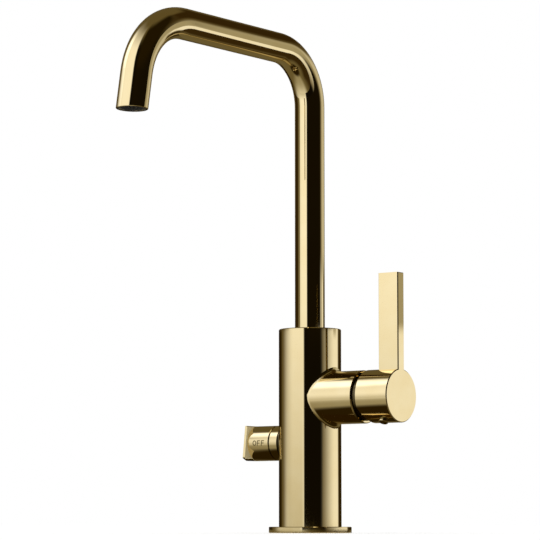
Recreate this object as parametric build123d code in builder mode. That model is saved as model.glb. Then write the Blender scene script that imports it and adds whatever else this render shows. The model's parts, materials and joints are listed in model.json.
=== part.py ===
from build123d import *
import os
from math import asin, atan2, cos, degrees, radians, sin, sqrt, tan

# Kitchen mixer tap with a side lever and a dishwasher shut-off, in millimetres.
# The origin is the centre of the base's underside. +Z is up, the lever's axis points
# along +X, the shut-off knob along -X, and the spout points to the front, along -Y.

os.makedirs("parts", exist_ok=True)

# Fits and clearances
running_fit = 0.08          # radial, between a shaft and its hole
seated_fit = 0.10           # radial, between pieces that don't move
face_gap = 0.05             # between two faces that slide on each other
overcut = 1.0               # how far a cutter runs past the face that it opens
groove_share = 1.1          # width of a seal's groove, as a share of the seal's section

# Base and column
base_dia = 66.0
base_height = 5.0
base_edge = 0.5
deck_plug_dia = 34.6        # passes the usual 35 mm hole in the worktop
base_seal_inner = 50.0
base_seal_outer = 58.0
base_seal_height = 2.0
body_dia = 50.0
body_top = 162.5
body_bore_dia = 42.0
body_bore_top = 57.0        # above this the column is solid, with drilled channels
body_edge = 0.6
housing_root = 3.5          # fillet between the side housing and the column

# Lower manifold, its threads and the four tubes above it
manifold_height = 25.0
manifold_seal_section = 2.0
manifold_seal_rise = 5.0    # above the base's top
inlet_thread_dia = 9.0      # tapping size of M10 x 1
inlet_depth = 12.0
stud_thread_dia = 6.8       # tapping size of M8
stud_depth = 12.0
stud_x = -7.5
stud_y = -7.0
supply_x = 4.5
supply_y = 9.5
supply_tube_dia = 10.0
supply_bore = 8.0
return_port_x = -9.5
return_port_y = 4.0
branch_x = -6.0
branch_y = 6.5
branch_tube_dia = 7.0
branch_bore = 5.0
tube_socket = 5.0
gallery_z = 18.0
gallery_size = 4.5

# Side housing and cartridge, x is measured from the column's axis
handle_z = 106.8
housing_dia = 42.0
housing_end = 54.5
housing_edge = 0.8
seat_x = 30.0
cartridge_dia = 34.8
cartridge_shoulder = 46.0
cartridge_front = 52.0
cartridge_neck_dia = 31.0
cartridge_bore_dia = 27.5
cartridge_floor = 2.5
port_dia = 5.0
inlet_port_y = 6.2
inlet_port_z = 2.5          # above the lever's axis
mixed_port_z = -5.0
mixed_channel_dia = 7.0
port_seal_wall = 1.2
port_seal_height = 1.0
fixed_disc_height = 3.5
moving_disc_dia = 21.0
moving_disc_height = 3.0
chamber_length = 17.4
chamber_width = 7.0
chamber_z = -4.2
chamber_depth = 1.5
driver_height = 4.4
driver_headroom = 0.5
carrier_front = 52.6
nut_thread_dia = 38.0
nut_front = 53.2
nut_notch = 3.0
nut_notches = 4

# Lever's pivot and stem
pivot_x = 50.0
pivot_pin_dia = 3.5
lift_max = 22.0             # degrees, the lever fully open
stem_side = 8.0
stem_back = 4.5             # behind the pivot
stem_end = 83.0
stem_round_dia = 10.0       # the part inside the lever's boss
stem_round_start = 66.0
stem_flat = 3.6             # from the axis to the flat that the lever's screw presses on
stem_arm = 8.4              # from the pivot to the ball that drives the disc
stem_ball_dia = 4.8
stem_rod_dia = 3.4
pin_margin = 0.2            # each end of the pin stays this far inside the carrier

# Cover dome, a sphere about the pivot
dome_dia = 37.8
dome_wall = 1.7
dome_end = 63.0

# Lever
sleeve_dia = 42.0
sleeve_back = 57.5
sleeve_wall = 1.8
sleeve_edge = 1.3
lever_end = 88.4
lever_end_wall = 4.0
lever_edge = 0.7
cut_start = 6.0             # the rear cut starts this far below the axis
cut_depth = 6.4             # and is this deep at the sleeve's lowest point
boss_dia = 18.0
boss_back = 70.0
blade_depth = 18.3          # along the lever's axis
blade_width = 8.5
blade_top = 203.5
blade_foot_radius = 4.0
lever_screw_dia = 5.0
index_x = 77.7
index_angle = 25.0          # degrees from straight down, towards the front
index_dia = 7.5
index_proud = 2.3
index_seat = 1.2
index_edge = 0.4

# Spout
tube_dia = 24.0
tube_wall = 1.0
tube_foot_z = 150.0
riser_top = 342.5
shoulder_radius = 43.0
arm_length = 119.5
nose_radius = 55.0
nose_turn = 80.0            # degrees, so the tube's end leans 10 degrees outwards
nose_length = 26.5
swivel_max = 60.0           # degrees to each side
socket_dia = 29.0
socket_floor = 138.0
nose_socket_dia = 18.4
nose_socket_floor = 126.0
spigot_nose_end = 127.0
spigot_bore = 11.0
spigot_stub = 8.0
spigot_seal_section = 1.8
spigot_seal_low = 130.0
spigot_seal_high = 134.5
lower_ring_height = 3.0
upper_ring_height = 6.0
upper_ring_recess = 0.5
upper_ring_edge = 0.4
dog_z = 145.5
dog_dia = 3.6
dog_screw_dia = 5.0
dog_track_depth = 1.5
dog_head_depth = 1.0
track_margin = 1.0          # degrees past the end of the swing
hex_socket_dia = 2.5

# Outlet and aerator, measured along the outlet's own axis
outlet_ring_height = 3.2
outlet_stub = 6.0
outlet_mouth_dia = 22.2
outlet_mouth_depth = 2.0
outlet_bore_dia = 20.4
outlet_edge = 0.3
outlet_lean = 2.0           # degrees, the rim is cut across the leaning tube, nearly level
aerator_recess = 0.5
aerator_length = 9.0
aerator_bore_dia = 16.8
aerator_notches = 14
aerator_notch_width = 1.7
aerator_notch_depth = 0.7
grid_recess = 0.5
grid_height = 1.2
grid_pitch = 2.4
grid_bar = 0.7
insert_height = 4.0
insert_hole_dia = 1.6
insert_rows = 3
insert_holes = 6            # in the first row, and as many more in each row outside it
aerator_seal_height = 1.5

# Shut-off valve, q is the distance from the column's axis along -X
knob_z = 72.0
knob_dia = 28.2
pad_dia = 27.2
pad_height = 1.0
pad_root = 6.0              # how far the pad reaches into the column
collar_length = 6.0         # from the column's face to the knob's groove
collar_bore_dia = 22.0
index_line_length = 4.6
index_line_width = 0.7
index_line_depth = 0.35
knob_gap = 0.8
groove_edge = 0.35
knob_length = 20.8          # from the groove to the tab
tab_thickness = 2.2
tab_reach_top = 14.1
tab_reach_bottom = 17.4
tab_cut_length = 5.0
tab_cut_height = 2.1
tab_corner = 1.4
tab_corner_top = 0.6
tab_bevel_top = 1.0
tab_bevel_bottom = 1.7
knob_cavity_depth = 16.5
knob_boss_dia = 13.0
knob_boss_recess = 2.5
knob_screw_dia = 4.0
knob_screw_set = 10.2       # from the knob's back
valve_pocket_depth = 16.0   # from the column's face
valve_pocket_dia = 18.0
collar_seat_depth = 1.5
valve_port_dia = 3.6
valve_port_y = 4.0
valve_cup_dia = 14.0
valve_disc_height = 3.0
valve_seal_height = 1.0
valve_hex = 18.0            # across flats
valve_hex_height = 5.5
spindle_dia = 8.0
spindle_flange = 2.5
spindle_reach = 4.2         # the round part's length inside the knob
spindle_square = 6.0
spindle_seal_section = 1.5
spindle_seal_rise = 1.5     # from the hexagon's foot
letter_height = 4.3
letter_width = 3.1
letter_round = 0.3          # how much wider than the rest the O is, each side
letter_bar = 2.8            # middle bar of the F
letter_gap = 0.95
letter_stroke = 0.75
letter_depth = 0.35
letter_set = 9.5            # from the knob's back to the middle of the word

# Derived sizes
manifold_top = base_height + manifold_height
manifold_dia = body_bore_dia - 2 * seated_fit
fixed_disc_x = seat_x + cartridge_floor
moving_disc_x = fixed_disc_x + fixed_disc_height + face_gap
driver_x = moving_disc_x + moving_disc_height
driver_front = driver_x + driver_height
carrier_back = moving_disc_x + 2 * face_gap
carrier_roof = driver_front + driver_headroom
disc_travel = stem_arm * sin(radians(lift_max))
disc_rest_z = -disc_travel / 2
supply_top = handle_z + inlet_port_z
mixed_z = handle_z + mixed_port_z
socket_shaft_dia = socket_dia - 2 * running_fit
tube_bore_dia = tube_dia - 2 * tube_wall
body_radius = body_dia / 2
pad_radius = body_radius + pad_height
collar_end = body_radius + collar_length
knob_start = collar_end + knob_gap
tab_inner = knob_start + knob_length
knob_end = tab_inner + tab_thickness
valve_seat = body_radius - valve_pocket_depth
valve_face = body_radius - collar_seat_depth
valve_front = valve_face + valve_hex_height
spindle_shoulder = knob_start + spindle_reach
spindle_end = knob_start + knob_cavity_depth
spindle_seal_q = valve_face + spindle_seal_rise
spindle_bore = spindle_dia + 2 * running_fit
screw_tilt = radians(index_angle)
supplies = ((supply_x, -supply_y), (supply_x, supply_y))
branches = ((branch_x, -branch_y), (branch_x, branch_y))
seat_ports = ((-inlet_port_y, inlet_port_z), (inlet_port_y, inlet_port_z), (0, mixed_port_z))


def save(piece, node):
    """Name the finished piece and write it to its own file."""
    piece.part.label = node
    export_step(piece.part, f"parts/{node}.step")


def side_plane(x):
    """Plane across the lever's axis, drawn as (Y, Z) from the axis, facing +X."""
    return Plane(origin=(x, 0, handle_z), x_dir=(0, 1, 0), z_dir=(1, 0, 0))


def knob_plane(q):
    """Plane across the shut-off's axis, drawn as (front, up) from the axis, facing -X."""
    return Plane(origin=(-q, 0, knob_z), x_dir=(0, -1, 0), z_dir=(-1, 0, 0))


def index_plane(radius):
    """Plane across the index button's axis, at a distance from the lever's axis."""
    facing = Vector(0, -sin(screw_tilt), -cos(screw_tilt))
    return Plane(origin=Vector(index_x, 0, handle_z) + facing * radius, x_dir=(1, 0, 0), z_dir=facing)


def ring(plane, outer, inner, length, mode=Mode.ADD):
    """Extrude a round section, with a bore where inner isn't zero."""
    with BuildSketch(plane) as section:
        Circle(outer / 2)
        if inner:
            Circle(inner / 2, mode=Mode.SUBTRACT)
    extrude(section.sketch, amount=length, mode=mode)


def drill(plane, dia, length, places=((0, 0),)):
    """Cut round holes of one depth at the given places of a plane."""
    with BuildSketch(plane) as section:
        with Locations(*places):
            Circle(dia / 2)
    extrude(section.sketch, amount=length, mode=Mode.SUBTRACT)


def seal_groove(plane, shaft, outer, section):
    """Cut the groove of a round seal whose outer diameter is given, centred on the plane."""
    width = groove_share * section
    ring(plane.offset(-width / 2), shaft + overcut, outer - 2 * section, width, Mode.SUBTRACT)


def round_seal(plane, outer, section):
    """Add a round-section seal ring of the given outer diameter."""
    with Locations(plane):
        Torus(outer / 2 - section / 2, section / 2)


# Base flange with the recess of its seal
with BuildPart() as base_flange:
    ring(Plane.XY, base_dia, deck_plug_dia + 2 * seated_fit, base_height)
    rims = base_flange.edges().filter_by(GeomType.CIRCLE).sort_by(SortBy.RADIUS)[-2:]
    chamfer(rims, length=base_edge)
    ring(Plane.XY, base_seal_outer + 2 * seated_fit, base_seal_inner - 2 * seated_fit,
         base_seal_height, Mode.SUBTRACT)
save(base_flange, "base_flange")

with BuildPart() as base_seal:
    ring(Plane.XY, base_seal_outer, base_seal_inner, base_seal_height)
save(base_seal, "base_seal")

# Pad under the shut-off collar, its face curved with the column
with BuildPart() as collar_pad:
    ring(knob_plane(body_radius - pad_root), pad_dia, 0, pad_root + pad_height + overcut)
    ring(Plane.XY, 2 * pad_radius, 0, body_top, Mode.INTERSECT)

# Column with the side housing, the spout's socket and the two valve pockets
with BuildPart() as body_shell:
    ring(Plane.XY.offset(base_height), body_dia, 0, body_top - base_height)
    rims = body_shell.edges().filter_by(GeomType.CIRCLE).sort_by(Axis.Z)
    chamfer(rims[-1], length=body_edge)
    ring(side_plane(0), housing_dia, 0, housing_end)
    fillet(body_shell.edges().filter_by(GeomType.BSPLINE), radius=housing_root)
    chamfer(body_shell.faces().sort_by(Axis.X)[-1].edges(), length=housing_edge)
    add(collar_pad.part)
    ring(Plane.XY.offset(base_height), body_bore_dia, 0, body_bore_top - base_height, Mode.SUBTRACT)
    # cartridge pocket, the nut's thread and the three seat ports
    drill(side_plane(seat_x), cartridge_dia + 2 * seated_fit, housing_end - seat_x)
    drill(side_plane(cartridge_shoulder), nut_thread_dia, housing_end - cartridge_shoulder)
    drill(side_plane(supply_x), port_dia, seat_x - supply_x, seat_ports)
    drill(Plane.XY.offset(body_bore_top), supply_bore, supply_top - body_bore_top, supplies)
    drill(Plane.XY.offset(body_bore_top), supply_tube_dia + 2 * seated_fit, tube_socket, supplies)
    # spout's socket, the channel that feeds it and the retaining screw's hole
    drill(Plane.XY.offset(mixed_z), mixed_channel_dia, nose_socket_floor - mixed_z, ((supply_x, 0),))
    drill(Plane.XY.offset(nose_socket_floor), nose_socket_dia, socket_floor - nose_socket_floor)
    drill(Plane.XY.offset(socket_floor), socket_dia, body_top - socket_floor)
    drill(Plane.XZ.offset(-body_dia), dog_screw_dia, body_dia, ((0, dog_z),))
    # shut-off pocket with its two ports and the channels below them
    drill(knob_plane(valve_seat), valve_pocket_dia, valve_face - valve_seat)
    drill(knob_plane(valve_face), collar_bore_dia, pad_radius - valve_face + overcut)
    drill(knob_plane(-branch_x), valve_port_dia, valve_seat + branch_x,
          ((-valve_port_y, 0), (valve_port_y, 0)))
    drill(Plane.XY.offset(body_bore_top), branch_bore, knob_z - body_bore_top, branches)
    drill(Plane.XY.offset(body_bore_top), branch_tube_dia + 2 * seated_fit, tube_socket, branches)
save(body_shell, "body_shell")

# Lower manifold: hot and cold inlets, the dishwasher outlet and the hole of the fixing stud
manifold_seal_z = base_height + manifold_seal_rise
with BuildPart() as lower_manifold:
    ring(Plane.XY, deck_plug_dia, 0, base_height)
    ring(Plane.XY.offset(base_height), manifold_dia, 0, manifold_height)
    seal_groove(Plane.XY.offset(manifold_seal_z), manifold_dia, manifold_dia, manifold_seal_section)
    drill(Plane.XY, inlet_thread_dia, inlet_depth, supplies + ((return_port_x, return_port_y),))
    drill(Plane.XY, stud_thread_dia, stud_depth, ((stud_x, stud_y),))
    drill(Plane.XY, supply_bore, manifold_top, supplies)
    drill(Plane.XY, branch_bore, gallery_z + gallery_size, ((return_port_x, return_port_y),))
    drill(Plane.XY.offset(gallery_z), branch_bore, manifold_top - gallery_z, branches)
    socket_plane = Plane.XY.offset(manifold_top - tube_socket)
    drill(socket_plane, supply_tube_dia + 2 * seated_fit, tube_socket, supplies)
    drill(socket_plane, branch_tube_dia + 2 * seated_fit, tube_socket, branches)
    # galleries: cold inlet to the shut-off's feed, and its return to the outlet port
    for start, end in ((supplies[0], branches[0]), ((return_port_x, return_port_y), branches[1])):
        run = Vector(*end) - Vector(*start)
        middle = (Vector(*start) + Vector(*end)) / 2
        with BuildSketch(Plane.XY.offset(gallery_z)):
            with Locations((middle.X, middle.Y)):
                SlotCenterToCenter(run.length, gallery_size, rotation=degrees(atan2(run.Y, run.X)))
        extrude(amount=gallery_size, mode=Mode.SUBTRACT)
save(lower_manifold, "lower_manifold")

with BuildPart() as manifold_seal:
    round_seal(Plane.XY.offset(manifold_seal_z), manifold_dia, manifold_seal_section)
save(manifold_seal, "manifold_seal")

# Four tubes between the manifold and the solid upper column
tube_bottom = manifold_top - tube_socket
tube_length = body_bore_top + tube_socket - tube_bottom
tubes = (
    ("cold_tube", supplies[0], supply_tube_dia, supply_bore),
    ("hot_tube", supplies[1], supply_tube_dia, supply_bore),
    ("shutoff_feed_tube", branches[0], branch_tube_dia, branch_bore),
    ("shutoff_return_tube", branches[1], branch_tube_dia, branch_bore),
)
for node, place, outer, inner in tubes:
    with BuildPart() as tube:
        ring(Plane(origin=(*place, tube_bottom)), outer, inner, tube_length)
    save(tube, node)

# Cartridge housing, open to the front, with three ports in its floor
port_seal_dia = port_dia + 2 * port_seal_wall
with BuildPart() as cartridge_housing:
    ring(side_plane(seat_x), cartridge_dia, 0, cartridge_shoulder - seat_x)
    ring(side_plane(cartridge_shoulder), cartridge_neck_dia, 0, cartridge_front - cartridge_shoulder)
    drill(side_plane(fixed_disc_x), cartridge_bore_dia, cartridge_front - fixed_disc_x)
    drill(side_plane(seat_x), port_dia, cartridge_floor, seat_ports)
    drill(side_plane(seat_x), port_seal_dia + 2 * seated_fit, port_seal_height, seat_ports)
save(cartridge_housing, "cartridge_housing")

with BuildPart() as cartridge_seals:
    with BuildSketch(side_plane(seat_x)):
        with Locations(*seat_ports):
            Circle(port_seal_dia / 2)
            Circle(port_dia / 2, mode=Mode.SUBTRACT)
    extrude(amount=port_seal_height)
save(cartridge_seals, "cartridge_seals")

with BuildPart() as cartridge_fixed_disc:
    ring(side_plane(fixed_disc_x), cartridge_bore_dia - 2 * seated_fit, 0, fixed_disc_height)
    drill(side_plane(fixed_disc_x), port_dia, fixed_disc_height, seat_ports)
save(cartridge_fixed_disc, "cartridge_fixed_disc")

# Moving disc: its chamber joins the ports once the disc has slid up
with BuildPart() as cartridge_moving_disc:
    with BuildSketch(side_plane(moving_disc_x)):
        with Locations((0, disc_rest_z)):
            Circle(moving_disc_dia / 2)
    extrude(amount=moving_disc_height)
    with BuildSketch(side_plane(moving_disc_x)):
        with Locations((0, chamber_z)):
            SlotOverall(chamber_length, chamber_width)
    extrude(amount=chamber_depth, mode=Mode.SUBTRACT)
save(cartridge_moving_disc, "cartridge_moving_disc")

# Driver behind the moving disc, with the socket of the stem's ball
with BuildPart() as disc_driver:
    with BuildSketch(side_plane(driver_x)):
        with Locations((0, disc_rest_z)):
            Circle(moving_disc_dia / 2)
        Circle(stem_ball_dia / 2 + running_fit, mode=Mode.SUBTRACT)
    extrude(amount=driver_height)
save(disc_driver, "disc_driver")

# Mix carrier: turns in the housing, guides the disc and carries the stem's pin
carrier_dia = cartridge_bore_dia - 2 * running_fit
stem_sweep = stem_side / cos(radians(lift_max)) + 2 * (pivot_x - carrier_roof) * tan(radians(lift_max))
with BuildPart() as mix_carrier:
    ring(side_plane(carrier_back), carrier_dia, 0, carrier_front - carrier_back)
    with BuildSketch(side_plane(carrier_back)):
        Rectangle(moving_disc_dia + 2 * running_fit, carrier_dia + overcut)
    extrude(amount=carrier_roof - carrier_back, mode=Mode.SUBTRACT)
    with BuildSketch(side_plane(carrier_roof)):
        Rectangle(stem_side + 2 * running_fit, stem_sweep + 4 * running_fit)
    extrude(amount=carrier_front - carrier_roof, mode=Mode.SUBTRACT)
    pin_plane = Plane(origin=(pivot_x, -carrier_dia, handle_z), x_dir=(1, 0, 0), z_dir=(0, 1, 0))
    drill(pin_plane, pivot_pin_dia, 2 * carrier_dia)
save(mix_carrier, "mix_carrier")

pin_length = 2 * sqrt((carrier_dia / 2) ** 2 - (pivot_pin_dia / 2) ** 2) - 2 * pin_margin
with BuildPart() as stem_pin:
    ring(pin_plane.offset(carrier_dia - pin_length / 2), pivot_pin_dia, 0, pin_length)
save(stem_pin, "stem_pin")

# Lever stem: square bar, with a rod and ball behind the pivot
with BuildPart() as lever_stem:
    with BuildSketch(side_plane(pivot_x - stem_back)):
        Rectangle(stem_side, stem_side)
    extrude(amount=stem_round_start - pivot_x + stem_back)
    ring(side_plane(stem_round_start), stem_round_dia, 0, stem_end - stem_round_start)
    with BuildSketch(index_plane(stem_flat)):
        Rectangle(stem_round_dia, stem_round_dia)
    extrude(amount=stem_round_dia, mode=Mode.SUBTRACT)
    ring(side_plane(pivot_x - stem_arm), stem_rod_dia, 0, stem_arm - stem_back)
    with Locations((pivot_x - stem_arm, 0, handle_z)):
        Sphere(stem_ball_dia / 2)
    drill(pin_plane, pivot_pin_dia + 2 * running_fit, 2 * carrier_dia)
save(lever_stem, "lever_stem")

# Nut that holds the cartridge, with notches for a pin spanner
with BuildPart() as cartridge_nut:
    ring(side_plane(cartridge_shoulder), nut_thread_dia - 2 * seated_fit,
         cartridge_neck_dia + 4 * seated_fit, nut_front - cartridge_shoulder)
    with BuildSketch(side_plane(nut_front - nut_notch / 2)):
        with PolarLocations(cartridge_neck_dia / 2, nut_notches):
            Rectangle(nut_notch, nut_notch)
    extrude(amount=nut_notch, mode=Mode.SUBTRACT)
save(cartridge_nut, "cartridge_nut")

# Cover dome between the nut and the lever
with BuildPart() as cover_dome:
    with BuildSketch(Plane.XZ):
        with Locations((pivot_x, handle_z)):
            Circle(dome_dia / 2)
            Circle(dome_dia / 2 - dome_wall, mode=Mode.SUBTRACT)
        with Locations((nut_front, handle_z)):
            Rectangle(dome_end - nut_front, dome_dia, align=(Align.MIN, Align.MIN), mode=Mode.INTERSECT)
    revolve(axis=Axis((0, 0, handle_z), (1, 0, 0)))
save(cover_dome, "cover_dome")

# Lever: sleeve, end wall and blade in one casting
sleeve_radius = sleeve_dia / 2
lever_length = lever_end - sleeve_back
blade_height = blade_top - handle_z
cut_run = cut_depth / (sleeve_radius - cut_start)
cut_drop = sleeve_radius + overcut - cut_start
cut_outline = (
    (sleeve_back - overcut, handle_z - cut_start),
    (sleeve_back, handle_z - cut_start),
    (sleeve_back + cut_run * cut_drop, handle_z - cut_start - cut_drop),
    (sleeve_back - overcut, handle_z - cut_start - cut_drop),
)
with BuildPart() as lever:
    with BuildSketch(side_plane(lever_end)) as keyhole:
        Circle(sleeve_radius)
        with Locations((0, blade_height / 2)):
            Rectangle(blade_width, blade_height)
        foot = keyhole.vertices().filter_by(lambda v: 0 < v.Z - handle_z < blade_height / 2)
        fillet(foot.filter_by(lambda v: abs(v.Y) > blade_width / 4), radius=blade_foot_radius)
    extrude(amount=-blade_depth)
    ring(side_plane(sleeve_back), sleeve_dia, 0, lever_length)
    with BuildSketch(Plane.XZ):
        with BuildLine():
            Polyline(*cut_outline, close=True)
        make_face()
    extrude(amount=sleeve_dia, both=True, mode=Mode.SUBTRACT)
    round_edges = lever.edges().filter_by(lambda e: e.geom_type in (GeomType.CIRCLE, GeomType.ELLIPSE))
    rear_edges = round_edges.filter_by(lambda e: e.center().X < sleeve_back + cut_depth)
    chamfer(rear_edges, length=sleeve_edge)
    chamfer(lever.faces().sort_by(Axis.X)[-1].edges(), length=lever_edge)
    drill(side_plane(sleeve_back - overcut), sleeve_dia - 2 * sleeve_wall,
          lever_length - lever_end_wall + overcut)
    ring(side_plane(boss_back), boss_dia, 0, lever_end - lever_end_wall - boss_back)
    drill(side_plane(boss_back), stem_round_dia + 2 * seated_fit, stem_end - boss_back)
    drill(index_plane(0), lever_screw_dia, sleeve_dia)
    drill(index_plane(sleeve_radius - index_seat), index_dia + 2 * seated_fit, sleeve_dia)
save(lever, "lever")

with BuildPart() as lever_screw:
    ring(index_plane(stem_flat), lever_screw_dia, 0, boss_dia / 2 - stem_flat)
    with BuildSketch(index_plane(boss_dia / 2)):
        RegularPolygon(hex_socket_dia / 2, 6, major_radius=False)
    extrude(amount=-hex_socket_dia, mode=Mode.SUBTRACT)
save(lever_screw, "lever_screw")

# Index button, a plug over the clamp screw
with BuildPart() as index_button:
    ring(index_plane(sleeve_radius - index_seat), index_dia, 0, index_seat + index_proud)
    chamfer(index_button.faces().sort_by(Axis.Z)[0].edges(), length=index_edge)
save(index_button, "index_button")

# Glide rings that carry and centre the spout
with BuildPart() as lower_glide_ring:
    ring(Plane.XY.offset(socket_floor), socket_shaft_dia, nose_socket_dia, lower_ring_height)
save(lower_glide_ring, "lower_glide_ring")

upper_ring_top = body_top - upper_ring_recess
with BuildPart() as upper_glide_ring:
    ring(Plane.XY.offset(upper_ring_top - upper_ring_height), socket_shaft_dia,
         tube_dia + 2 * running_fit, upper_ring_height)
    chamfer(upper_glide_ring.edges().group_by(Axis.Z)[-1], length=upper_ring_edge)
save(upper_glide_ring, "upper_glide_ring")

# Spigot in the tube's foot, with two seal grooves and the track of the retaining screw
spigot_base = socket_floor + lower_ring_height + face_gap
nose_dia = nose_socket_dia - 2 * running_fit
track_floor = socket_shaft_dia - 2 * dog_track_depth
dog_angle = degrees(asin(dog_dia / track_floor))
track_width = dog_dia + 2 * running_fit
track_swing = swivel_max + dog_angle + track_margin
with BuildPart() as spout_spigot:
    ring(Plane.XY.offset(spigot_nose_end), nose_dia, 0, spigot_base - spigot_nose_end)
    ring(Plane.XY.offset(spigot_base), socket_shaft_dia, 0, tube_foot_z - spigot_base)
    ring(Plane.XY.offset(tube_foot_z), tube_bore_dia, 0, spigot_stub)
    for seal_z in (spigot_seal_low, spigot_seal_high):
        seal_groove(Plane.XY.offset(seal_z), nose_dia, nose_dia, spigot_seal_section)
    drill(Plane.XY.offset(spigot_nose_end), spigot_bore, tube_foot_z + spigot_stub - spigot_nose_end)
    # the track stops the spout at each end of its swing
    track_start = radians(90 - track_swing)
    track_plane = Plane(origin=(0, 0, dog_z), x_dir=(cos(track_start), sin(track_start), 0),
                        z_dir=(sin(track_start), -cos(track_start), 0))
    with BuildSketch(track_plane):
        with Locations((track_floor / 2 + dog_track_depth, 0)):
            Rectangle(2 * dog_track_depth, track_width)
    revolve(axis=Axis.Z, revolution_arc=2 * track_swing, mode=Mode.SUBTRACT)
save(spout_spigot, "spout_spigot")

with BuildPart() as spigot_seals:
    for seal_z in (spigot_seal_low, spigot_seal_high):
        round_seal(Plane.XY.offset(seal_z), nose_dia, spigot_seal_section)
save(spigot_seals, "spigot_seals")

# Screw at the column's rear whose dog runs in the spigot's track
dog_plane = Plane(origin=(0, 0, dog_z), x_dir=(1, 0, 0), z_dir=(0, 1, 0))
dog_tip = track_floor / 2 + running_fit
dog_shoulder = socket_dia / 2 + running_fit
dog_head = body_dia / 2 - dog_head_depth
with BuildPart() as spout_screw:
    ring(dog_plane.offset(dog_tip), dog_dia, 0, dog_shoulder - dog_tip)
    ring(dog_plane.offset(dog_shoulder), dog_screw_dia, 0, dog_head - dog_shoulder)
    with BuildSketch(dog_plane.offset(dog_head)):
        RegularPolygon(hex_socket_dia / 2, 6, major_radius=False)
    extrude(amount=-hex_socket_dia, mode=Mode.SUBTRACT)
save(spout_screw, "spout_screw")

# Spout tube along its centre line, drawn as (Y, Z)
shoulder_z = riser_top + shoulder_radius
nose_tangent = nose_radius * tan(radians(nose_turn) / 2)
nose_corner_y = -shoulder_radius - arm_length - nose_tangent
nose_down = (cos(radians(180 + nose_turn)), sin(radians(180 + nose_turn)))
tip_run = nose_tangent + nose_length
outlet_y = nose_corner_y + nose_down[0] * tip_run
outlet_z = shoulder_z + nose_down[1] * tip_run
outlet_facing = Vector(0, *nose_down)
tube_tip_y = outlet_y - nose_down[0] * outlet_ring_height
tube_tip_z = outlet_z - nose_down[1] * outlet_ring_height
with BuildPart() as spout_tube:
    with BuildLine(Plane.YZ):
        FilletPolyline((0, tube_foot_z), (0, shoulder_z), (nose_corner_y, shoulder_z),
                       (tube_tip_y, tube_tip_z), radius=(shoulder_radius, nose_radius))
    with BuildSketch(Plane.XY.offset(tube_foot_z)):
        Circle(tube_dia / 2)
        Circle(tube_bore_dia / 2, mode=Mode.SUBTRACT)
    sweep()
save(spout_tube, "spout_tube")


def outlet_plane(depth):
    """Plane across the outlet, at a depth inside its heel, facing out of it."""
    return Plane(origin=Vector(0, outlet_y, outlet_z) - outlet_facing * depth, x_dir=(1, 0, 0),
                 z_dir=outlet_facing)


# The rim's plane passes the heel, the point of the outlet nearest to the column
rim_tilt = radians(90 - nose_turn - outlet_lean)
rim_reach = tube_dia * tan(rim_tilt)
rim_facing = Vector(0, -sin(radians(outlet_lean)), -cos(radians(outlet_lean)))


def rim_plane(depth):
    """Plane along the slanted rim, at a depth inside it, facing out of it."""
    middle = Vector(0, outlet_y, outlet_z) + outlet_facing * (rim_reach / 2)
    return Plane(origin=middle - rim_facing * depth, x_dir=(1, 0, 0), z_dir=rim_facing)


# Outlet ring with a stub inside the tube and the aerator's thread
stub_end = outlet_ring_height + outlet_stub
with BuildPart() as outlet_ring:
    ring(outlet_plane(outlet_ring_height), tube_dia, 0, outlet_ring_height + rim_reach)
    split(bisect_by=rim_plane(0), keep=Keep.BOTTOM)
    chamfer(outlet_ring.edges().filter_by(GeomType.ELLIPSE), length=outlet_edge)
    ring(outlet_plane(stub_end), tube_bore_dia - 2 * seated_fit, 0, outlet_stub)
    drill(outlet_plane(stub_end), outlet_bore_dia, stub_end)
    drill(outlet_plane(outlet_mouth_depth), outlet_mouth_dia, outlet_mouth_depth + rim_reach)
save(outlet_ring, "outlet_ring")

# Aerator: its notched front follows the rim, and a ledge holds the grid, insert and seal
shell_end = aerator_recess + aerator_length
grid_end = aerator_recess + aerator_notch_depth + grid_recess
with BuildPart() as aerator_shell:
    ring(outlet_plane(outlet_mouth_depth), outlet_mouth_dia - 2 * seated_fit, 0,
         outlet_mouth_depth + rim_reach)
    split(bisect_by=rim_plane(aerator_recess), keep=Keep.BOTTOM)
    ring(outlet_plane(shell_end), outlet_bore_dia - 2 * seated_fit, 0, shell_end - outlet_mouth_depth)
    drill(outlet_plane(shell_end), aerator_bore_dia, aerator_length + rim_reach)
    with BuildSketch(rim_plane(aerator_recess + aerator_notch_depth)):
        with PolarLocations(outlet_mouth_dia / 2, aerator_notches):
            Rectangle(outlet_mouth_dia - outlet_bore_dia, aerator_notch_width)
    extrude(amount=aerator_notch_depth, mode=Mode.SUBTRACT)
save(aerator_shell, "aerator_shell")

grid_dia = aerator_bore_dia - 2 * seated_fit
grid_rows = int(grid_dia / grid_pitch) + 1
grid_opening = grid_pitch - grid_bar
with BuildPart() as aerator_grid:
    ring(outlet_plane(grid_end + grid_height), grid_dia, 0, grid_height)
    with BuildSketch(outlet_plane(grid_end + grid_height)):
        with GridLocations(grid_pitch, grid_pitch, grid_rows, grid_rows):
            Rectangle(grid_opening, grid_opening)
        Circle(grid_dia / 2 - grid_bar, mode=Mode.INTERSECT)
    extrude(amount=grid_height, mode=Mode.SUBTRACT)
save(aerator_grid, "aerator_grid")

insert_end = grid_end + grid_height + insert_height
with BuildPart() as aerator_insert:
    ring(outlet_plane(insert_end), grid_dia, 0, insert_height)
    drill(outlet_plane(insert_end), insert_hole_dia, insert_height)
    for row in range(1, insert_rows):
        with BuildSketch(outlet_plane(insert_end)):
            with PolarLocations(row * grid_dia / (2 * insert_rows), insert_holes * row):
                Circle(insert_hole_dia / 2)
        extrude(amount=insert_height, mode=Mode.SUBTRACT)
save(aerator_insert, "aerator_insert")

with BuildPart() as aerator_seal:
    ring(outlet_plane(shell_end + aerator_seal_height), tube_bore_dia - 4 * seated_fit,
         aerator_bore_dia, aerator_seal_height)
save(aerator_seal, "aerator_seal")

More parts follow.
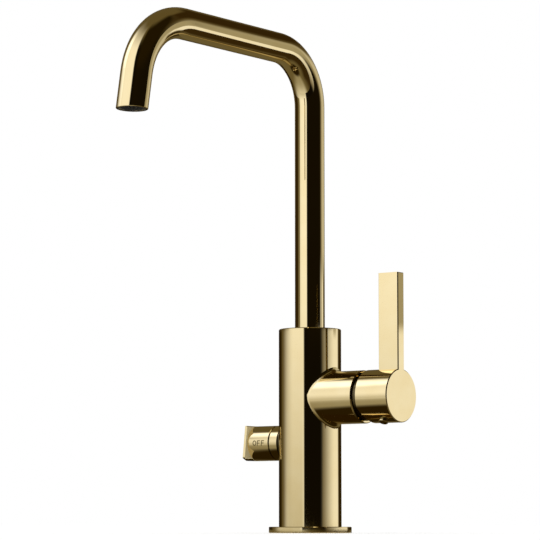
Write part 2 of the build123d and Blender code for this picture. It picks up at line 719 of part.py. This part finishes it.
# Shut-off collar: its back follows the column's pad, and a line on its front marks the setting
collar_front_plane = Plane(origin=(0, -knob_dia / 2, knob_z), x_dir=(1, 0, 0), z_dir=(0, -1, 0))
with BuildPart() as shutoff_collar:
    ring(knob_plane(valve_face), knob_dia, collar_bore_dia, collar_end - valve_face)
    collar_rim = shutoff_collar.edges().filter_by(GeomType.CIRCLE).group_by(Axis.X)[0]
    chamfer(collar_rim.sort_by(SortBy.RADIUS)[-1], length=groove_edge)
    ring(Plane.XY.offset(knob_z - knob_dia), 2 * pad_radius, 0, 2 * knob_dia, Mode.SUBTRACT)
    with BuildSketch(collar_front_plane.offset(-index_line_depth)):
        with Locations((-collar_end, 0)):
            Rectangle(2 * index_line_length, index_line_width)
    extrude(amount=knob_dia / 2, mode=Mode.SUBTRACT)
save(shutoff_collar, "shutoff_collar")

# Valve headwork: cup for the discs, hexagon, and the spindle's bore
valve_cup_end = valve_seat + valve_seal_height + 2 * valve_disc_height + spindle_flange + 3 * face_gap
with BuildPart() as shutoff_headwork:
    ring(knob_plane(valve_seat), valve_pocket_dia - 2 * seated_fit, 0, valve_face - valve_seat)
    with BuildSketch(knob_plane(valve_face)):
        RegularPolygon(valve_hex / 2, 6, major_radius=False)
    extrude(amount=valve_front - valve_face)
    drill(knob_plane(valve_seat), valve_cup_dia, valve_cup_end - valve_seat)
    drill(knob_plane(valve_cup_end), spindle_bore, valve_front - valve_cup_end)
save(shutoff_headwork, "shutoff_headwork")

valve_disc_dia = valve_cup_dia - 2 * seated_fit
valve_ports = ((-valve_port_y, 0), (valve_port_y, 0))
valve_disc_q = valve_seat + valve_seal_height
with BuildPart() as shutoff_seat_seal:
    ring(knob_plane(valve_seat), valve_disc_dia, 0, valve_seal_height)
    drill(knob_plane(valve_seat), valve_port_dia, valve_seal_height, valve_ports)
save(shutoff_seat_seal, "shutoff_seat_seal")

with BuildPart() as shutoff_fixed_disc:
    ring(knob_plane(valve_disc_q), valve_disc_dia, 0, valve_disc_height)
    drill(knob_plane(valve_disc_q), valve_port_dia, valve_disc_height, valve_ports)
save(shutoff_fixed_disc, "shutoff_fixed_disc")

# Turning disc: its slot stands upright when shut and joins the ports a quarter turn on
turning_q = valve_disc_q + valve_disc_height + face_gap
with BuildPart() as shutoff_turning_disc:
    ring(knob_plane(turning_q), valve_cup_dia - 2 * running_fit, 0, valve_disc_height)
    with BuildSketch(knob_plane(turning_q)):
        SlotOverall(2 * valve_port_y + valve_port_dia, valve_port_dia, rotation=90)
    extrude(amount=valve_disc_height / 2, mode=Mode.SUBTRACT)
save(shutoff_turning_disc, "shutoff_turning_disc")

flange_q = turning_q + valve_disc_height
with BuildPart() as shutoff_spindle:
    ring(knob_plane(flange_q), valve_cup_dia - 2 * running_fit, 0, spindle_flange)
    ring(knob_plane(flange_q + spindle_flange), spindle_dia, 0,
         spindle_shoulder - flange_q - spindle_flange)
    seal_groove(knob_plane(spindle_seal_q), spindle_dia, spindle_dia, spindle_seal_section)
    with BuildSketch(knob_plane(spindle_shoulder)):
        Rectangle(spindle_square, spindle_square)
    extrude(amount=spindle_end - spindle_shoulder)
save(shutoff_spindle, "shutoff_spindle")

with BuildPart() as spindle_seal:
    round_seal(knob_plane(spindle_seal_q), spindle_dia, spindle_seal_section)
save(spindle_seal, "spindle_seal")

# Shut-off knob with its tab, the square socket and the engraved word OFF
knob_radius = knob_dia / 2
knob_screw_q = knob_start + knob_screw_set
letter_centre = knob_start + letter_set
knob_socket = spindle_square + 2 * seated_fit
tab_outline = (
    (0, -knob_radius),
    (tab_reach_bottom - tab_cut_length, -knob_radius),
    (tab_reach_bottom, tab_cut_height - knob_radius),
    (tab_reach_top, knob_radius),
    (0, knob_radius),
)
tab_section = (
    (-knob_end, knob_z - knob_radius),
    (-tab_inner - tab_bevel_bottom, knob_z - knob_radius),
    (-tab_inner, knob_z - knob_radius + tab_bevel_bottom),
    (-tab_inner, knob_z + knob_radius - tab_bevel_top),
    (-tab_inner - tab_bevel_top, knob_z + knob_radius),
    (-knob_end, knob_z + knob_radius),
)
with BuildPart() as knob_tab:
    with BuildSketch(knob_plane(tab_inner)) as tab:
        with BuildLine():
            Polyline(*tab_outline, close=True)
        make_face()
        corners = tab.vertices().filter_by(lambda v: v.Y < -knob_radius / 2)
        fillet(corners.filter_by(lambda v: v.Z < knob_z), radius=tab_corner)
        fillet(corners.filter_by(lambda v: v.Z > knob_z), radius=tab_corner_top)
    extrude(amount=tab_thickness)
    with BuildSketch(Plane.XZ):
        with BuildLine():
            Polyline(*tab_section, close=True)
        make_face()
    extrude(amount=knob_dia, both=True, mode=Mode.INTERSECT)

knob_screw_plane = Plane(origin=(-knob_screw_q, 0, knob_z), x_dir=(1, 0, 0), z_dir=(0, 0, -1))
with BuildPart() as shutoff_knob:
    ring(knob_plane(knob_start), knob_dia, 0, knob_end - knob_start)
    knob_rims = shutoff_knob.edges().filter_by(GeomType.CIRCLE).sort_by(Axis.X)
    chamfer(knob_rims[-1], length=groove_edge)
    add(knob_tab.part)
    drill(knob_plane(knob_start), collar_bore_dia, knob_cavity_depth)
    ring(knob_plane(knob_start + knob_boss_recess), knob_boss_dia, 0, knob_cavity_depth - knob_boss_recess)
    with BuildSketch(knob_plane(knob_start + knob_boss_recess)):
        Rectangle(knob_socket, knob_socket)
    extrude(amount=spindle_end - knob_start - knob_boss_recess, mode=Mode.SUBTRACT)
    drill(knob_plane(knob_start), spindle_bore, spindle_shoulder - knob_start + face_gap)
    drill(knob_screw_plane, knob_screw_dia, knob_dia)
    # letters from strokes, on the knob's front
    with BuildSketch(Plane(origin=(-letter_centre, letter_depth - knob_radius, knob_z),
                           x_dir=(1, 0, 0), z_dir=(0, -1, 0))):
        with Locations((-letter_width - letter_gap, 0)):
            Ellipse(letter_width / 2 + letter_round, letter_height / 2)
            Ellipse(letter_width / 2 + letter_round - letter_stroke, letter_height / 2 - letter_stroke,
                    mode=Mode.SUBTRACT)
        for left in (-letter_width / 2, letter_width / 2 + letter_gap):
            with Locations((left + letter_stroke / 2, 0)):
                Rectangle(letter_stroke, letter_height)
            with Locations((left + letter_width / 2, (letter_height - letter_stroke) / 2)):
                Rectangle(letter_width, letter_stroke)
            with Locations((left + letter_bar / 2, 0)):
                Rectangle(letter_bar, letter_stroke)
    extrude(amount=knob_radius, mode=Mode.SUBTRACT)
save(shutoff_knob, "shutoff_knob")

with BuildPart() as knob_screw:
    ring(knob_screw_plane.offset(knob_socket / 2), knob_screw_dia, 0, (knob_boss_dia - knob_socket) / 2)
    with BuildSketch(knob_screw_plane.offset(knob_boss_dia / 2)):
        RegularPolygon(hex_socket_dia / 2, 6, major_radius=False)
    extrude(amount=-hex_socket_dia, mode=Mode.SUBTRACT)
save(knob_screw, "knob_screw")
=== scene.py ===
import json
import math
import bpy
from mathutils import Matrix, Vector

# Kitchen mixer tap in polished brass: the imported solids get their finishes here, and stand in
# a light tent on a pale floor. Metres, same frame as the solids, lever towards +X, spout -Y.

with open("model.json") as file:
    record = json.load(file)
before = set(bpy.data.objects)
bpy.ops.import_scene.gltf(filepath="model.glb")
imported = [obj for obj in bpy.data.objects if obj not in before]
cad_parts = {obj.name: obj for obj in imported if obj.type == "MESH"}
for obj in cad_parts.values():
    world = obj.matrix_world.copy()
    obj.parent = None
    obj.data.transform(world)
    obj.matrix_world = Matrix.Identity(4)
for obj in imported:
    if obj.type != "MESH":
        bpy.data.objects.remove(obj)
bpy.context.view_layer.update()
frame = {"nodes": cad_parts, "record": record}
nodes = frame["nodes"]
bpy.ops.object.select_all(action="DESELECT")
print("stage 1: frame loaded,", len(nodes), "solids")


# Node trees are written as sums of sockets.
class Socket:
    # an output that plain Python sums and products can be written on
    def __init__(self, recipe, output):
        self.recipe = recipe
        self.output = output

    def maths(self, operation, *values):
        return self.recipe.node("ShaderNodeMath", {"operation": operation}, dict(enumerate(values)))

    def __add__(self, other):
        return self.maths("ADD", self, other)

    def __radd__(self, other):
        return self.maths("ADD", other, self)

    def __sub__(self, other):
        return self.maths("SUBTRACT", self, other)

    def __rsub__(self, other):
        return self.maths("SUBTRACT", other, self)

    def __mul__(self, other):
        return self.maths("MULTIPLY", self, other)

    def __rmul__(self, other):
        return self.maths("MULTIPLY", other, self)

    def __truediv__(self, other):
        return self.maths("DIVIDE", self, other)

    def __pow__(self, other):
        return self.maths("POWER", self, other)


class Recipe:
    # the node tree of one material, or of the world
    def __init__(self, owner):
        owner.use_nodes = True
        self.tree = owner.node_tree
        self.tree.nodes.clear()

    def node(self, kind, settings=None, sockets=None, out=0):
        made = self.tree.nodes.new(kind)
        for name, value in (settings or {}).items():
            if name == "stops":
                ramp = made.color_ramp
                while len(ramp.elements) < len(value):
                    ramp.elements.new(0.5)
                for element, (place, colour) in zip(ramp.elements, value):
                    element.position = place
                    element.color = colour if len(colour) == 4 else (*colour, 1)
            elif name == "interpolation":
                made.color_ramp.interpolation = value
            else:
                setattr(made, name, value)
        for key, value in (sockets or {}).items():
            if isinstance(value, Socket):
                self.tree.links.new(value.output, made.inputs[key])
            else:
                made.inputs[key].default_value = value
        return Socket(self, made.outputs[out]) if made.outputs else made

    def place(self, scale=(1, 1, 1), turn=(0, 0, 0), centre=(0, 0, 0)):
        # object coordinates about a centre, turned, then stretched
        here = self.node("ShaderNodeTexCoord", out="Object")
        moved = self.node("ShaderNodeVectorMath", {"operation": "SUBTRACT"}, {0: here, 1: centre})
        return self.node("ShaderNodeMapping", None, {"Vector": moved, "Rotation": turn, "Scale": scale})

    def noise(self, vector, scale, detail=3.0, roughness=0.5, distortion=0.0):
        return self.node("ShaderNodeTexNoise", None, {
            "Vector": vector, "Scale": scale, "Detail": detail, "Roughness": roughness,
            "Distortion": distortion}, out="Fac")

    def spread(self, value, low, high, to=(0.0, 1.0)):
        return self.node("ShaderNodeMapRange", {"clamp": True}, {
            "Value": value, "From Min": low, "From Max": high, "To Min": to[0], "To Max": to[1]})

    def axes(self):
        # object coordinates one by one
        apart = self.tree.nodes.new("ShaderNodeSeparateXYZ")
        self.tree.links.new(self.node("ShaderNodeTexCoord", out="Object").output, apart.inputs[0])
        return [Socket(self, apart.outputs[axis]) for axis in "XYZ"]

    def inside(self, value, low, high, soft):
        return self.edge(value, low, soft) * (1 - self.edge(value, high, soft))

    def edge(self, value, where, soft):
        return self.node("ShaderNodeMapRange", {"clamp": True, "interpolation_type": "SMOOTHSTEP"}, {
            "Value": value, "From Min": where - soft, "From Max": where + soft})

    def blend(self, mask, first, second):
        return self.node("ShaderNodeMix", {"data_type": "RGBA"}, {0: mask, 6: first, 7: second}, out=2)

    def bump(self, height, depth, strength=1.0):
        # depth is the real height of the relief, in metres
        return self.node("ShaderNodeBump", None, {
            "Height": height, "Distance": depth, "Strength": strength}, out="Normal")

    def surface(self, sockets):
        shader = self.node("ShaderNodeBsdfPrincipled", None, sockets)
        self.node("ShaderNodeOutputMaterial", None, {"Surface": shader})


def colour(red, green, blue):
    # screen values 0-255 to the linear colour that a socket takes
    def linear(value):
        value = value / 255
        return value / 12.92 if value <= 0.04045 else ((value + 0.055) / 1.055) ** 2.4
    return (linear(red), linear(green), linear(blue), 1)


# Finishes of the solids: brass that shows, then the plainer inner pieces.
brass = {
    "light": colour(253, 235, 188),       # fresh polish
    "warm": colour(249, 228, 176),        # where the polish is a touch deeper
    "roughness": (0.02, 0.05),
    "hazeScale": 55,                      # soft patches left by the mop, about 18 mm
    "lineScale": 2600,                    # hairlines, about 0.4 mm apart
    "lineDepth": 0.0000003,
    "tarnishAndShade": colour(96, 84, 40),        # tarnish in the engraved letters; painted shade on the blade's back and the button's side
    # painted shade where the shut-off meets the column and on the dome seen through the gap behind the
    # lever
    "paintedShade": colour(48, 37, 12),
    "tarnishAndShadeRoughness": 0.2,                          # roughness added with the tarnish and the painted shade
    "paintedReflection": colour(236, 220, 172),     # painted cream reflection on the inner face of the knob's tab
    "satin": 0.3,                         # roughness of that face
    "satinSheen": 0.85,                   # how far it loses its mirror, so that the painted reflection shows
}


def polishedBrass(name, stretch, turn=(0, 0, 0), centre=(0, 0, 0), haze=1.0, tarnishAndShadeMask=None, paintedReflection=None,
                  stain="tarnishAndShade"):
    # mirror-polished brass: stretch sets which way the mop's hairlines run; the first mask darkens it
    # with the stain colour, as tarnish in engraved letters and as painted shade elsewhere, and the
    # second paints a cream reflection on a face that loses part of its mirror
    made = bpy.data.materials.new(name)
    r = Recipe(made)
    broad = r.noise(r.place(centre=centre), brass["hazeScale"], 2.0)
    cloud = r.spread(broad, 0.35, 0.7)
    lines = r.noise(r.place(stretch, turn, centre), brass["lineScale"], 2.0, 0.6)
    rare = r.spread(r.noise(r.place(stretch, turn, centre), brass["lineScale"] * 0.22, 1.0), 0.66, 0.74)
    low, high = brass["roughness"]
    roughness = low + (high - low) * haze * (cloud * 0.6 + lines * 0.4) + rare * 0.02
    tone = r.blend(cloud * 0.7 + lines * 0.3, brass["light"], brass["warm"])
    # darkened where the first mask says: tarnish in engraved letters, painted shade elsewhere
    if tarnishAndShadeMask:
        mask = tarnishAndShadeMask(r)
        tone = r.blend(mask * (0.8 + 0.2 * lines), tone, brass[stain])
        roughness = roughness + mask * brass["tarnishAndShadeRoughness"]
    metal = 1.0
    # painted reflection: a cream colour with less mirror on the masked face
    if paintedReflection:
        mask = paintedReflection(r)
        tone = r.blend(mask, tone, brass["paintedReflection"])
        roughness = roughness + mask * (brass["satin"] + 0.1 * lines)
        metal = 1 - brass["satinSheen"] * mask
    r.surface({
        "Base Color": tone,
        "Metallic": metal,
        "Roughness": roughness,
        "Normal": r.bump(lines - rare * 0.8, brass["lineDepth"]),
    })
    return made


def machinedBrass(name, centre=(0, 0, 0)):
    # turned brass of the inner parts: dull, with the tool's fine rings
    made = bpy.data.materials.new(name)
    r = Recipe(made)
    rings = r.noise(r.place((1, 1, 6), centre=centre), 1400, 2.0, 0.7)
    stain = r.noise(r.place(centre=centre), 120, 4.0, 0.6)
    r.surface({
        "Base Color": r.blend(r.spread(stain, 0.4, 0.75), colour(214, 180, 104), colour(176, 138, 72)),
        "Metallic": 1.0,
        "Roughness": 0.26 + 0.16 * stain,
        "Normal": r.bump(rings, 0.000004),
    })
    return made


def stainlessSteel(name):
    # drawn tube and small screws, with a faint grain along Z
    made = bpy.data.materials.new(name)
    r = Recipe(made)
    grain = r.noise(r.place((1, 1, 0.08)), 2200, 2.0)
    stain = r.noise(r.place(), 160, 3.0)
    r.surface({
        "Base Color": r.blend(stain, colour(205, 206, 204), colour(178, 180, 181)),
        "Metallic": 1.0,
        "Roughness": 0.2 + 0.14 * grain,
        "Normal": r.bump(grain, 0.000003),
    })
    return made


def sealRubber(name):
    # black seal rubber with a little dust
    made = bpy.data.materials.new(name)
    r = Recipe(made)
    skin = r.noise(r.place(), 900, 4.0, 0.65)
    dust = r.spread(r.noise(r.place(), 140, 3.0), 0.55, 0.8)
    r.surface({
        "Base Color": r.blend(dust * 0.35, colour(24, 24, 25), colour(64, 62, 60)),
        "Roughness": 0.55 + 0.2 * skin,
        "Specular IOR Level": 0.4,
        "Normal": r.bump(skin, 0.00002),
    })
    return made


def valveCeramic(name):
    # lapped discs, nearly white
    made = bpy.data.materials.new(name)
    r = Recipe(made)
    fleck = r.spread(r.noise(r.place(), 1500, 3.0, 0.6), 0.5, 0.75)
    r.surface({
        "Base Color": r.blend(fleck * 0.5, colour(238, 235, 226), colour(219, 213, 200)),
        "Roughness": 0.12 + 0.1 * fleck,
        "Normal": r.bump(fleck, 0.000002),
    })
    return made


def mouldedPlastic(name, main, shade, roughness, depth):
    # injection-moulded plastic with a fine spark-eroded skin
    made = bpy.data.materials.new(name)
    r = Recipe(made)
    skin = r.noise(r.place(), 1300, 4.0, 0.6)
    flow = r.spread(r.noise(r.place((1, 1, 0.4)), 90, 3.0), 0.4, 0.75)
    r.surface({
        "Base Color": r.blend(flow * 0.6 + skin * 0.3, main, shade),
        "Roughness": roughness + 0.14 * skin,
        "Normal": r.bump(skin, depth),
    })
    return made


# Places on the solids, in metres: the middles that patterns turn round, the engraved word, and
# where shade and a reflection are painted.
leverCentre = (0.05, 0, 0.1068)
knobCentre = (-0.04, 0, 0.072)
lettering = {
    "x": (-0.0478, -0.0348),
    "z": (0.0695, 0.0745),
    "front": -0.012,                      # the word is on the side towards -Y
    "floor": 0.01402,                     # how far the engraving's floor is from the knob's axis
}
tabFace = {"x": (-0.05268, -0.05252)}     # inner face of the knob's tab, where a reflection is painted
seat = {"x": -0.0176, "z": (0.0574, 0.0868)}        # where the shut-off meets the column, with painted shade
bladeBack = {"x": (0.07, 0.0702), "foot": 0.1292}   # the side of the blade that faces the column, with painted shade
gapShade = {"scale": 300, "spread": (0.2, 0.45), "cover": (0.8, 1.0)}   # painted shade on the dome, seen through the gap behind the lever
buttonSide = {"from": 0.018, "to": 0.0226}          # distances from the lever's axis of the button's side, with painted shade


def offAxis(r, y, z, height):
    # distance from an axis that runs along X at this height
    return (y * y + (z - height) * (z - height)) ** 0.5


def letterMask(r):
    # the engraved word lies a little deeper than the knob's round side
    x, y, z = r.axes()
    deep = 1 - r.edge(offAxis(r, y, z, knobCentre[2]), lettering["floor"], 0.00003)
    front = 1 - r.edge(y, lettering["front"], 0.0003)
    return deep * front * r.inside(x, *lettering["x"], 0.0001) * r.inside(z, *lettering["z"], 0.0001)


# painted reflection on the tab's inner face
def paintedTabReflection(r):
    return r.inside(r.axes()[0], *tabFace["x"], 0.00002)


# painted shade in the corner where the shut-off meets the column
def paintedSeatShade(r):
    x, y, z = r.axes()
    return r.inside(z, *seat["z"], 0.0006) * (1 - r.edge(x, seat["x"], 0.0012))


# painted shade on the blade's side that faces the column
def paintedBladeShade(r):
    x, y, z = r.axes()
    return r.inside(x, *bladeBack["x"], 0.00003) * r.edge(z, bladeBack["foot"], 0.0004)


# painted shade on the dome inside the gap behind the lever, nearly all over
def paintedGapShade(r):
    return r.spread(r.noise(r.place(), gapShade["scale"], 3.0), *gapShade["spread"], gapShade["cover"])


# painted shade on the index button's side
def paintedButtonShade(r):
    x, y, z = r.axes()
    return r.inside(offAxis(r, y, z, leverCentre[2]), buttonSide["from"], buttonSide["to"], 0.0004)


finishes = {
    "base_flange": polishedBrass("baseBrass", (1, 1, 0.05), haze=1.1),
    "body_shell": polishedBrass("columnBrass", (1, 1, 0.04), tarnishAndShadeMask=paintedSeatShade, stain="paintedShade"),
    "cover_dome": polishedBrass("domeBrass", (0.06, 1, 1), centre=leverCentre, tarnishAndShadeMask=paintedGapShade,
                                stain="paintedShade"),
    "spout_tube": polishedBrass("tubeBrass", (1, 0.05, 0.05), haze=0.8),
    "outlet_ring": polishedBrass("outletBrass", (1, 1, 0.1)),
    "lever": polishedBrass("leverBrass", (0.06, 1, 0.4), centre=leverCentre, tarnishAndShadeMask=paintedBladeShade),
    "index_button": polishedBrass("buttonBrass", (1, 1, 1), centre=leverCentre, tarnishAndShadeMask=paintedButtonShade),
    "shutoff_collar": polishedBrass("collarBrass", (0.06, 1, 1), centre=knobCentre),
    "shutoff_knob": polishedBrass("knobBrass", (0.06, 1, 1), centre=knobCentre, tarnishAndShadeMask=letterMask,
                                  paintedReflection=paintedTabReflection),
}
slotFinishes = {
    "plain_brass": machinedBrass("plainBrass"),
    "steel": stainlessSteel("steel"),
    "rubber": sealRubber("rubber"),
    "ceramic": valveCeramic("ceramic"),
    "cartridge_plastic": mouldedPlastic("cartridgePlastic", colour(226, 226, 222),
                                        colour(204, 204, 200), 0.36, 0.00001),
    "glide_plastic": mouldedPlastic("glidePlastic", colour(84, 70, 40), colour(60, 48, 24),
                                    0.34, 0.00001),
    "aerator_plastic": mouldedPlastic("aeratorPlastic", colour(58, 56, 52), colour(36, 34, 31),
                                      0.3, 0.000012),
}
slotOfNode = {part["node"]: part["material_slot"] for part in frame["record"]["subparts"]}

for name, solid in nodes.items():
    made = finishes.get(name) or slotFinishes[slotOfNode[name]]
    if not solid.material_slots:
        solid.data.materials.append(made)
    for materialSlot in solid.material_slots:
        materialSlot.material = made
print("stage 2: finishes on", len(nodes), "solids")


# A light tent of glowing cards, a dome and a round on the floor, seen by its reflections alone.
# It stands still in the room. Cards are placed by degrees round the column from the tent's
# front, their low and high edges by degrees above the dome's middle, or on the floor by metres
# out from the column. Every edge is (where it is, how soft it is). A later card hangs in front.
toFloor = (-95, 4)
tent = {
    "front": 37.22,                     # degrees from -Y towards +X
    "radius": 0.9,
    "height": 0.2,                      # of the dome's middle
    "ground": 92,                       # tone of the dome where no card hangs
    "cards": (
        # on the left, the broad light, its dimmer lower half and the brightest part
        dict(middle=-50, left=(43, 30), right=(28, 6), low=toFloor, high=(58, 16), tone=252),
        dict(middle=-50, left=(45, 16), right=(24, 4), low=toFloor, high=(-5, 13), tone=190),
        dict(middle=-88, left=(17, 8), right=(11, 5), low=(27, 9), high=(52, 10), tone=300),
        # in front, the dark of the room
        dict(middle=15, left=(38, 2.5), right=(29, 5), low=toFloor, high=(55, 10), tone=15),
        dict(middle=45, left=(52, 9), right=(43, 11), low=(4, 6), high=(71, 8), tone=31),
        # on the right, the second light and what hangs over it
        dict(middle=90, left=(22, 34), right=(33, 5), low=toFloor, high=(6.5, 1.5), tone=240),
        dict(middle=124, left=(26, 14), right=(26, 8), low=(6.5, 1.5), high=(32, 4), tone=192),
        dict(middle=130, left=(44, 8), right=(36, 11), low=(38, 7), high=(66, 5), tone=49),
        # behind, the dark that draws the column's edges
        dict(middle=-150, left=(21, 6), right=(21, 6), low=toFloor, high=(10, 4), tone=39),
        dict(middle=148, left=(20, 7), right=(14, 8), low=toFloor, high=(3, 4), tone=41),
        # higher up, what only the tube mirrors
        dict(middle=104, left=(10, 4), right=(9, 4), low=(1.6, 0.5), high=(31, 5), tone=160),
        dict(middle=40, left=(51, 9), right=(50, 9), low=(2, 0.25), high=(30, 7), tone=20),
        dict(middle=-110, left=(34, 10), right=(27, 3), low=(2, 0.25), high=(21, 2), tone=112),
        dict(middle=-110, left=(34, 10), right=(8, 7), low=(2, 0.25), high=(21, 2), tone=46),
    ),
}
floorCards = {
    "lift": 0.0004,                     # above the floor itself
    "ground": 103,
    "cards": (
        dict(middle=-50, left=(43, 30), right=(37, 15), low=(0.06, 0.16), high=(2, 0.2), tone=150),
        dict(middle=-50, left=(43, 30), right=(37, 15), low=(0.5, 0.32), high=(2, 0.2), tone=206),
        dict(middle=60, left=(44, 20), right=(74, 14), low=(0.26, 0.11), high=(1.5, 0.4), tone=52),
        # all round the foot
        dict(middle=0, left=(200, 1), right=(200, 1), low=(-0.1, 0.01), high=(0.14, 0.04), tone=38),
    ),
}
# Polished brass shows a card's tone as red, with less green and blue, and less still in shadow.
shown = {
    "metal": colour(252, 235, 187),
    "green": {"less": 17, "share": 0.64},
    "blue": {"less": 65, "over": 45, "least": 2},
}


def cardColour(tone):
    # colour of a card that the brass shows as this tone
    green, blue = shown["green"], shown["blue"]
    seen = colour(tone, max(tone - green["less"], green["share"] * tone),
                  max(tone - blue["less"] * (1 - math.exp(-tone / blue["over"])), blue["least"]))
    return tuple(seen[i] / shown["metal"][i] for i in range(3)) + (1,)


def cardMask(r, angle, height, card):
    away = angle - card["middle"]
    away = away.maths("WRAP", away, 180.0, -180.0)
    return (r.edge(away, -card["left"][0], card["left"][1]) * (1 - r.edge(away, *card["right"]))
            * r.edge(height, *card["low"]) * (1 - r.edge(height, *card["high"])))


def hangCards(r, angle, height, hung):
    # the glow of all cards, each over the ones before it
    glow = cardColour(hung["ground"])
    for card in hung["cards"]:
        glow = r.blend(cardMask(r, angle, height, card), glow, cardColour(card["tone"]))
    return r.node("ShaderNodeEmission", None, {"Color": glow, "Strength": 1.0})


def tentFinish(name, paint):
    # a finish that only glows; paint gets the recipe and its axes, and gives the shader
    made = bpy.data.materials.new(name)
    r = Recipe(made)
    x, y, z = r.axes()
    angle = x.maths("ARCTAN2", x, 0 - y) * (180 / math.pi) - tent["front"]
    r.node("ShaderNodeOutputMaterial", None, {"Surface": paint(r, angle, x, y, z)})
    return made


def paintDome(r, angle, x, y, z):
    rise = (z - tent["height"]) / tent["radius"]
    return hangCards(r, angle, rise.maths("ARCSINE", rise) * (180 / math.pi), tent)


def paintFloor(r, angle, x, y, z):
    return hangCards(r, angle, (x * x + y * y) ** 0.5, floorCards)


def hangUp(name, paint):
    # the primitive just added becomes a part of the tent
    piece = bpy.context.object
    piece.name = name
    bpy.ops.object.transform_apply(location=True)
    bpy.ops.object.shade_smooth()
    piece.data.materials.append(tentFinish(name + "Glow", paint))
    piece.visible_camera = False
    piece.visible_diffuse = False
    piece.visible_transmission = False
    piece.visible_volume_scatter = False
    piece.visible_shadow = False
    bpy.ops.object.select_all(action="DESELECT")


bpy.ops.mesh.primitive_uv_sphere_add(segments=96, ring_count=48, radius=tent["radius"],
                                     location=(0, 0, tent["height"]))
hangUp("tentDome", paintDome)
bpy.ops.mesh.primitive_circle_add(vertices=64, radius=tent["radius"], fill_type="NGON",
                                  location=(0, 0, floorCards["lift"]))
hangUp("floorCards", paintFloor)

studio = {
    "soft": (0.9, 0.9, 0.9, 1),         # even light on the dull pieces
    "white": (1, 1, 1, 1),              # what the camera and the metal see behind the tap
}
world = bpy.data.worlds.new("studio")
bpy.context.scene.world = world
w = Recipe(world)
ray = w.tree.nodes.new("ShaderNodeLightPath")
seen = Socket(w, ray.outputs["Is Camera Ray"])
for other in ("Is Glossy Ray", "Is Transmission Ray"):
    seen = seen.maths("MAXIMUM", seen, Socket(w, ray.outputs[other]))
soft = w.node("ShaderNodeBackground", None, {"Color": studio["soft"], "Strength": 1.0})
white = w.node("ShaderNodeBackground", None, {"Color": studio["white"], "Strength": 1.0})
both = w.node("ShaderNodeMixShader", None, {0: seen, 1: soft, 2: white})
w.node("ShaderNodeOutputWorld", None, {"Surface": both})

paleFloor = {
    "size": 12.0,
    "paper": (colour(250, 250, 250), colour(248, 248, 247)),
    "grain": 40,
    "glow": 0.18,                       # brings the lit paper up to white and keeps the shadow
}
bpy.ops.object.select_all(action="DESELECT")
bpy.ops.mesh.primitive_plane_add(size=paleFloor["size"])
floor = bpy.context.object
floor.name = "floor"
floorFinish = bpy.data.materials.new("paleFloor")
r = Recipe(floorFinish)
grain = r.noise(r.place(), paleFloor["grain"], 3.0)
paper = r.node("ShaderNodeBsdfDiffuse", None, {
    "Color": r.blend(grain, *paleFloor["paper"]), "Roughness": 0.0})
lift = r.node("ShaderNodeEmission", None, {"Color": studio["white"], "Strength": paleFloor["glow"]})
together = r.node("ShaderNodeAddShader", None, {0: paper, 1: lift})
r.node("ShaderNodeOutputMaterial", None, {"Surface": together})
floor.data.materials.append(floorFinish)
print("stage 3: light tent and floor")


# The camera stands where the photograph's did, nearly level with the worktop.
shot = {
    "place": (1.1830, -1.6103, 0.0068),
    "across": -0.60491,                 # its level direction, along X and along Y
    "level": 0.79630,
    "pitch": 5.824,                     # degrees upwards
    "lens": 166.34,
    "sensor": 36,
    "sight": 50,
}
camera = bpy.data.cameras.new("photoCamera")
camera.lens = shot["lens"]
camera.sensor_width = shot["sensor"]
camera.clip_end = shot["sight"]
cameraObject = bpy.data.objects.new("photoCamera", camera)
bpy.context.scene.collection.objects.link(cameraObject)
pitch = math.radians(shot["pitch"])
forward = Vector((shot["across"] * math.cos(pitch), shot["level"] * math.cos(pitch), math.sin(pitch)))
cameraObject.matrix_world = (Matrix.Translation(shot["place"])
                             @ forward.to_track_quat("-Z", "Y").to_matrix().to_4x4())
bpy.context.scene.camera = cameraObject
bpy.context.scene.view_settings.view_transform = "Standard"
print("stage 4: camera")
